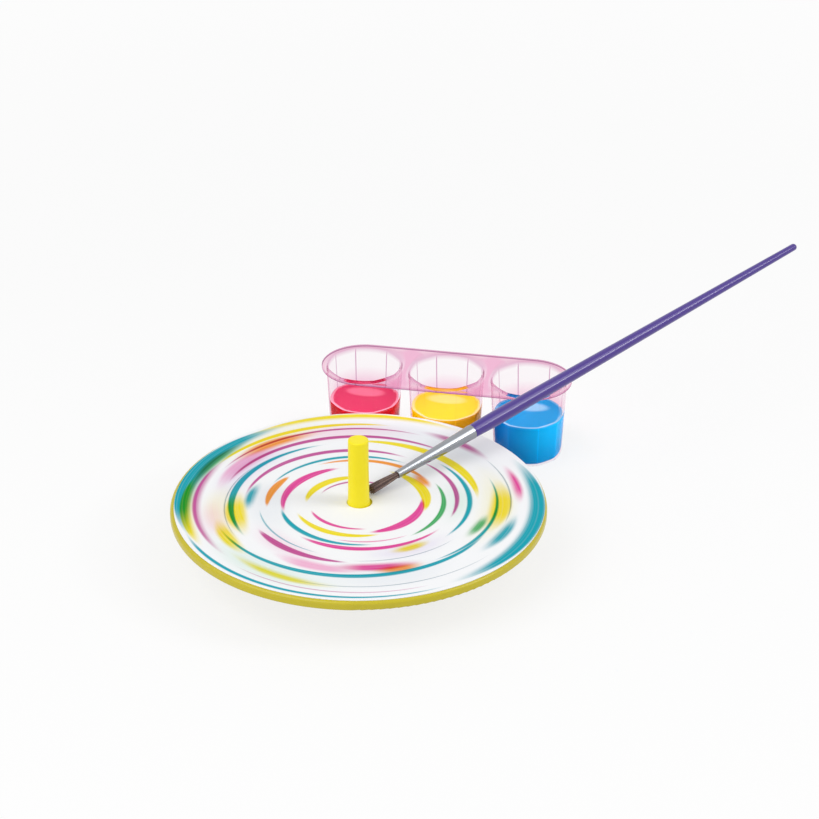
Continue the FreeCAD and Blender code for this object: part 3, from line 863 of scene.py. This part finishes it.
def paint_surface(settings, rim_z, top_z, index, tones):
    """Paint in one cup, its colours holding painted light and shade. The side's colour turns from left to
    right as painted light and shade and darkens downwards as painted shade; the top is a lit tone with a
    painted highlight ring, wider at the front, and a soft oval painted gleam."""
    degrees = cup_angles(45.0)
    turn = np.radians(degrees)
    shape = facet_shape(degrees)
    rows, side_rows = paint_profile(settings, rim_z, top_z)
    radius = rows[:, :1] * shape
    x, y = radius * np.cos(turn), radius * np.sin(turn)
    z = rows[:, 1:2] + 0 * x
    wall_r = rows[side_rows - 1, 0]
    left, right, top, gleam, ring = (linear(tone) for tone in tones)
    # Painted light and shade: the side turns from one lit tone to one shaded tone from left to right, and
    # darkens downwards
    side = mixed(left, right, smooth(x / wall_r / 2 + 0.5))
    side = mixed(side * PAINTED_SHADE_LOW, side, smooth(z / top_z * 1.1))
    # Painted highlight: the paint's side is lighter at the cup's corners
    side = np.minimum(side * (1 + 0.25 * at_corner(degrees))[:, None], 1.0)
    # Painted highlight: a soft oval gleam on the top
    off_x = (x / wall_r - GLEAM_PLACE[0]) / GLEAM_HALF[0]
    off_y = (y / wall_r - GLEAM_PLACE[1]) / GLEAM_HALF[1]
    upper = mixed(top, gleam, GLEAM_SHARE * smooth((1.4 - off_x ** 2 - off_y ** 2) / 0.9))
    # Painted highlight: a pale ring along the wall, wider and stronger at the front
    front = smooth(0.5 - y / wall_r / 1.6)
    inside_highlight_ring = HIGHLIGHT_RING_WIDTH * (0.45 + 0.55 * front) - (wall_r * shape - radius)
    highlight_ring_share = smooth(inside_highlight_ring / HIGHLIGHT_RING_SOFT + 0.5)
    upper = mixed(upper, ring, highlight_ring_share * (0.5 + 0.5 * front))
    is_side = (np.arange(len(rows)) < side_rows)[:, None, None]
    tone = np.where(is_side, side, upper)

    points = np.stack([x + (index - (CUP_COUNT - 1) / 2) * settings.pitch, y, z], axis=-1)
    return on_table(points.reshape(-1, 3)), grid_faces(len(rows), len(turn)), tone.reshape(-1, 4)


class SPINART_OT_paints(bpy.types.Operator):
    """Pour the three paints"""
    bl_idname = "spinart.paints"
    bl_label = "Paints"

    def execute(self, context):
        settings = context.scene.spin_art.cups
        rim_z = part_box("cup_strip")[1].z
        for index, (name, tones) in enumerate(PAINT_TONES.items()):
            node = "paint_" + name
            top_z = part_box(node)[1].z
            points, quads, tone = paint_surface(settings, rim_z, top_z, index, tones)
            make_object("poured_" + name, points, quads, poster_paint(name + "_poster_paint"),
                        "paint_tray", node, {"tone": tone})
        return {"FINISHED"}


# Brush

BRUSH_TIP = np.array((4.2, 4.6, 26.55)) * MM
BRUSH_DIRECTION = unit((0.76774, 0.62612, 0.13619))
ROUND_COLUMNS = 96
HAIR_SIDES = 4
HAIR_CLUMPS = 15
HAIR_ROOT_S = 19.0
CLUMP_REACH = 0.92
CLUMP_PULL = 0.42
# Radius of the bundle of hairs at distances from its tip, in mm
HAIR_ENVELOPE = ((0, 2.12), (1, 2.2), (4, 2.16), (9, 1.85), (14, 1.46), (15.5, 1.31), (22, 1.3))


def brush_axes():
    """Two directions across the brush and one along it."""
    across = unit(np.cross(BRUSH_DIRECTION, (0, 0, 1)))
    return across, np.cross(BRUSH_DIRECTION, across), BRUSH_DIRECTION


def along_brush(x, y, s):
    """Points of the frame from places across and along the brush, measured from the tip of its hairs."""
    a, b, c = brush_axes()
    return BRUSH_TIP + x[..., None] * a + y[..., None] * b + s[..., None] * c


def turned(profile, loop):
    """A profile of (radius, distance) in mm carried round the brush's axis, as points and quads."""
    profile = np.array(profile) * MM
    turn = np.linspace(0, 2 * np.pi, ROUND_COLUMNS, endpoint=False)
    radius = profile[:, :1]
    points = along_brush(radius * np.cos(turn), radius * np.sin(turn),
                         np.repeat(profile[:, 1:], ROUND_COLUMNS, axis=1))
    return points.reshape(-1, 3), grid_faces(len(profile), ROUND_COLUMNS, loop)


def quarter(r_from, s_from, r_to, s_to, bulge_in_s, steps=6):
    """A quarter ellipse between two profile points. It leaves the first one along the axis or across
    it, as bulge_in_s says."""
    turn = np.linspace(0, np.pi / 2, steps)
    quick, slow = np.sin(turn), 1 - np.cos(turn)
    in_s, in_r = (quick, slow) if bulge_in_s else (slow, quick)
    return [(r_from + (r_to - r_from) * r, s_from + (s_to - s_from) * s) for r, s in zip(in_r, in_s)]


def read(items, key, kind, width=1):
    """A key of all items as an array."""
    values = np.zeros(len(items) * width, dtype=kind)
    items.foreach_get(key, values)
    return values


def straight(r_from, s_from, r_to, s_to, steps):
    """Evenly spaced profile points on the line to the second point, without the first."""
    return [(r_from + (r_to - r_from) * share, s_from + (s_to - s_from) * share)
            for share in np.linspace(0, 1, steps)[1:]]


def measure_uv(piece, repeat_r):
    """A UV map in metres: u round the brush at a typical radius, v along it."""
    mesh = piece.data
    co = read(mesh.vertices, "co", float, 3).reshape(-1, 3) - BRUSH_TIP
    a, b, c = brush_axes()
    turn = np.arctan2(co @ b, co @ a)
    loops = read(mesh.loops, "vertex_index", np.int32)
    corner_turn = turn[loops]
    first = corner_turn[read(mesh.polygons, "loop_start", np.int32)]
    first = np.repeat(first, read(mesh.polygons, "loop_total", np.int32))
    corner_turn = first + (corner_turn - first + np.pi) % (2 * np.pi) - np.pi
    uv = mesh.uv_layers.new(name="metres")
    pairs = np.stack([corner_turn * repeat_r, (co @ c)[loops]], axis=-1)
    uv.data.foreach_set("uv", pairs.astype(np.float32).ravel())


def handle_profile():
    """Tenon, shoulder, swelling neck, long taper and round end of the handle."""
    profile = [(0.0, 44.5), (2.1, 44.5), (2.3, 44.7), (2.74, 57.5)]
    profile += quarter(2.75, 57.52, 3.0, 57.85, False)
    neck_r, neck_s, swell_r, swell_s = 3.0, 57.85, 3.3, 75.5
    for share in np.linspace(0, 1, 20)[1:]:
        profile.append((neck_r + (swell_r - neck_r) * math.sin(share * math.pi / 2),
                        neck_s + (swell_s - neck_s) * share))
    profile += straight(swell_r, swell_s, 1.595, 253.35, 48)
    profile += quarter(1.595, 253.35, 0.0, 254.93, True, 10)[1:]
    return profile


def ferrule_profile():
    """Outside of the tube from its rolled mouth to the handle, and back along its inside."""
    profile = quarter(1.42, 15.5, 1.62, 15.5, True, 2) + quarter(1.62, 15.5, 1.712, 15.66, False, 5)[1:]
    profile += straight(1.712, 15.66, 3.15, 57.36, 40)
    profile += quarter(3.15, 57.36, 3.02, 57.5, True, 4)[1:]
    profile += [(2.82, 57.5), (2.5, 44.4), (1.38, 22.0), (1.36, 15.6)]
    return profile


def hair_surface(settings):
    """Every hair as a thin tapered tube of four sides. The hairs fill the bundle evenly at the ferrule
    (radius sqrt(i / n), angle i times the golden angle) and gather into clumps towards their tips."""
    draws = np.random.default_rng(11)
    count = settings.hairs
    order = np.arange(count)
    share = np.sqrt((order + 0.5) / count)
    angle = order * GOLDEN_ANGLE + draws.normal(0, 0.05, count)
    clump_share = np.sqrt((np.arange(HAIR_CLUMPS) + 0.5) / HAIR_CLUMPS) * CLUMP_REACH
    clump_angle = np.arange(HAIR_CLUMPS) * GOLDEN_ANGLE + 0.4
    place = on_circle(share, angle)
    clumps = on_circle(clump_share, clump_angle)
    nearest = np.argmin(np.linalg.norm(place[:, None] - clumps[None], axis=-1), axis=1)
    tip_place = place + CLUMP_PULL * (clumps[nearest] - place) + draws.normal(0, 0.045, (count, 2))
    tip_place /= np.maximum(1, np.linalg.norm(tip_place, axis=-1))[:, None]
    tip_s = draws.uniform(0.0, 0.7, count) + 0.5 * share ** 2 + 0.25 * (nearest % 3)
    t = np.array([0.0, 0.06, 0.25, 0.5, 0.75, 1.0])
    s = tip_s[:, None] + (HAIR_ROOT_S - tip_s[:, None]) * t
    gather = (1 - t) ** 1.6
    centre = place[:, None] * (1 - gather)[None, :, None] + tip_place[:, None] * gather[None, :, None]
    near, radii = np.array(HAIR_ENVELOPE).T
    thick = settings.hair_radius * np.interp(t, (0.0, 0.06, 0.25, 1.0), (0.25, 0.8, 1.0, 0.5))
    envelope = np.interp(s, near, radii) * MM - thick
    centre = centre * envelope[..., None]
    side = np.arange(HAIR_SIDES) * 2 * np.pi / HAIR_SIDES
    x = centre[..., 0, None] + thick[None, :, None] * np.cos(side + angle[:, None, None])
    y = centre[..., 1, None] + thick[None, :, None] * np.sin(side + angle[:, None, None])
    points = along_brush(x, y, np.repeat(s[..., None] * MM, HAIR_SIDES, axis=-1))
    ends = np.array([[0, 1, 2, 3], np.arange(HAIR_SIDES)[::-1] + HAIR_SIDES * (len(t) - 1)])
    quads = np.concatenate([grid_faces(len(t), HAIR_SIDES)[:, ::-1], ends])
    quads = (quads[None] + (order * len(t) * HAIR_SIDES)[:, None, None]).reshape(-1, 4)
    tone = np.clip(draws.normal(0.48, 0.28, count), 0, 1)
    return points.reshape(-1, 3), quads, np.repeat(tone, len(t) * HAIR_SIDES)


class SPINART_OT_brush(bpy.types.Operator):
    """Make the brush: handle, ferrule and hairs"""
    bl_idname = "spinart.brush"
    bl_label = "Brush"

    def execute(self, context):
        settings = context.scene.spin_art.brush
        points, quads = turned(handle_profile(), False)
        handle = make_object("lacquered_handle", points, quads, lacquered_wood(settings.lacquer),
                             "brush", "brush_handle")
        measure_uv(handle, 3.0 * MM)
        points, quads = turned(ferrule_profile(), True)
        ferrule = make_object("drawn_ferrule", points, quads, drawn_aluminium(), "brush",
                              "brush_ferrule")
        measure_uv(ferrule, 2.4 * MM)
        points, quads, tone = hair_surface(settings)
        make_object("hair_bundle", points, quads, animal_hair(), "brush", "brush_bristles",
                    {"tone": tone})
        finish(cured_glue(), "bristle_glue")
        return {"FINISHED"}


# Stage

CAMERA_PLACE = (0.0, -1.12437, 0.67654)
CAMERA_DOWN = 0.4965
CAMERA_RIGHT = 0.0187
FOCAL_PIXELS = 3139.3
SENSOR_WIDTH = 36.0
CAMERA_CLIP = (0.05, 20.0)
FLOOR_RADIUS = 4.0
FLOOR_DEPTH = 0.05 * MM
# Place, target, width and height of each lamp in metres
LAMPS = {
    "key": ((-0.75, -0.55, 1.0), (0.04, 0.03, 0.02), 1.3, 1.0),
    "top": ((0.74, -0.09, 0.95), (0.05, 0.04, 0.04), 0.5, 0.5),
    "glint": ((1.11, -0.2, 0.73), (0.12, 0.1, 0.05), 0.46, 0.2),
}


def seen_directly(tree):
    """1 for rays that show a background: from the camera, off gloss and through clear plastic."""
    path = add(tree, "ShaderNodeLightPath")
    total = path.outputs["Is Camera Ray"]
    for name in ("Is Glossy Ray", "Is Transmission Ray"):
        node = add(tree, "ShaderNodeMath", operation="MAXIMUM")
        tree.links.new(total, node.inputs[0])
        tree.links.new(path.outputs[name], node.inputs[1])
        total = node.outputs["Value"]
    return total


def make_floor():
    """A round floor a hair under the object, so that no faces coincide. Where a background is seen it
    is mostly plain white light, the more the further out, and a little matt white that keeps a faint
    shadow. From below it is clear."""
    ring = np.linspace(0, 1, 25)[1:] ** 2 * FLOOR_RADIUS
    turn = np.linspace(0, 2 * np.pi, 72, endpoint=False)
    radius, angle = np.meshgrid(ring, turn, indexing="ij")
    height = np.full(radius.shape, -FLOOR_DEPTH)
    points = on_circle(radius, angle, height).reshape(-1, 3)
    faces = grid_faces(len(ring), len(turn))[:, ::-1].tolist() + [list(range(len(turn)))]
    mesh = bpy.data.meshes.new("floor")
    mesh.from_pydata(points.tolist(), [], faces)
    new_object("floor", mesh)
    material, tree = new_material("white_floor")
    far = add(tree, "ShaderNodeVectorMath", {0: object_place(tree)}, operation="LENGTH").outputs["Value"]
    share = spread(tree, far, 0.8, 1.0, 0.3, 0.9)
    seen = add(tree, "ShaderNodeMath", {0: seen_directly(tree), 1: share}, operation="MULTIPLY")
    matt = add(tree, "ShaderNodeBsdfDiffuse", {"Color": (0.92, 0.92, 0.92, 1.0)})
    white = add(tree, "ShaderNodeEmission", {"Color": WHITE, "Strength": 1.0})
    mix = add(tree, "ShaderNodeMixShader", {0: seen.outputs["Value"], 1: matt.outputs["BSDF"],
                                            2: white.outputs["Emission"]})
    below = add(tree, "ShaderNodeNewGeometry").outputs["Backfacing"]
    clear = add(tree, "ShaderNodeBsdfTransparent")
    mix = add(tree, "ShaderNodeMixShader", {0: below, 1: mix.outputs["Shader"], 2: clear.outputs["BSDF"]})
    output(tree, Surface=mix.outputs["Shader"])
    mesh.materials.append(material)


def make_world(level):
    """Even light from all sides, and white where it is seen directly."""
    world = bpy.data.worlds.new("studio")
    world.use_nodes = True
    tree = world.node_tree
    tree.nodes.clear()
    strength = spread(tree, seen_directly(tree), level, 1.0, 0.0, 1.0)
    white = add(tree, "ShaderNodeBackground", {"Color": WHITE, "Strength": strength})
    add(tree, "ShaderNodeOutputWorld", {"Surface": white.outputs["Background"]})
    bpy.context.scene.world = world


def make_lamp(name, place, target, width, height, level):
    """A soft rectangular lamp that shines on a point. Its power follows from its brightness as
    level times pi times its area."""
    light = bpy.data.lights.new(name, "AREA")
    light.shape = "RECTANGLE"
    light.size, light.size_y = width, height
    light.energy = level * math.pi * width * height
    lamp = new_object(name, light)
    lamp.location = place
    lamp.rotation_euler = (Vector(target) - Vector(place)).to_track_quat("-Z", "Y").to_euler()
    lamp.visible_camera = False


class SPINART_OT_stage(bpy.types.Operator):
    """Set up the camera, the lamps and the white floor"""
    bl_idname = "spinart.stage"
    bl_label = "Stage"

    def execute(self, context):
        settings = context.scene.spin_art.stage
        make_floor()
        make_world(settings.room_level)
        for name, lamp in LAMPS.items():
            make_lamp(name + "_lamp", *lamp, getattr(settings, name + "_level"))
        camera = new_object("camera", bpy.data.cameras.new("camera"))
        camera.data.sensor_width = SENSOR_WIDTH
        camera.data.lens = FOCAL_PIXELS * SENSOR_WIDTH / IMAGE_SIDE
        camera.data.clip_start, camera.data.clip_end = CAMERA_CLIP
        camera.location = CAMERA_PLACE
        camera.rotation_euler = (math.pi / 2 - CAMERA_DOWN, 0.0, -CAMERA_RIGHT)
        context.scene.camera = camera
        context.scene.view_settings.view_transform = "Standard"
        return {"FINISHED"}


OPERATORS = (SPINART_OT_stage, SPINART_OT_solids, SPINART_OT_card, SPINART_OT_cups, SPINART_OT_paints,
             SPINART_OT_brush)


class SPINART_PT_panel(bpy.types.Panel):
    """Sizes, colours and pieces of the spin art machine"""
    bl_idname = "SPINART_PT_panel"
    bl_label = "Spin art machine"
    bl_space_type = "VIEW_3D"
    bl_region_type = "UI"
    bl_category = "Spin art"

    def draw(self, context):
        settings = context.scene.spin_art
        for group in ("card", "plastic", "cups", "brush", "stage"):
            box = self.layout.box()
            for name in getattr(settings, group).__annotations__:
                box.prop(getattr(settings, group), name)
        for operator in OPERATORS:
            self.layout.operator(operator.bl_idname)


CLASSES = (CardSettings, PlasticSettings, CupSettings, BrushSettings, StageSettings, SpinArtSettings,
           *OPERATORS, SPINART_PT_panel)


def register():
    for cls in CLASSES:
        bpy.utils.register_class(cls)
    bpy.types.Scene.spin_art = PointerProperty(type=SpinArtSettings)


def unregister():
    del bpy.types.Scene.spin_art
    for cls in reversed(CLASSES):
        bpy.utils.unregister_class(cls)


def main():
    register()
    for operator in OPERATORS:
        group, name = operator.bl_idname.split(".")
        getattr(getattr(bpy.ops, group), name)()


if __name__ == "__main__":
    main()
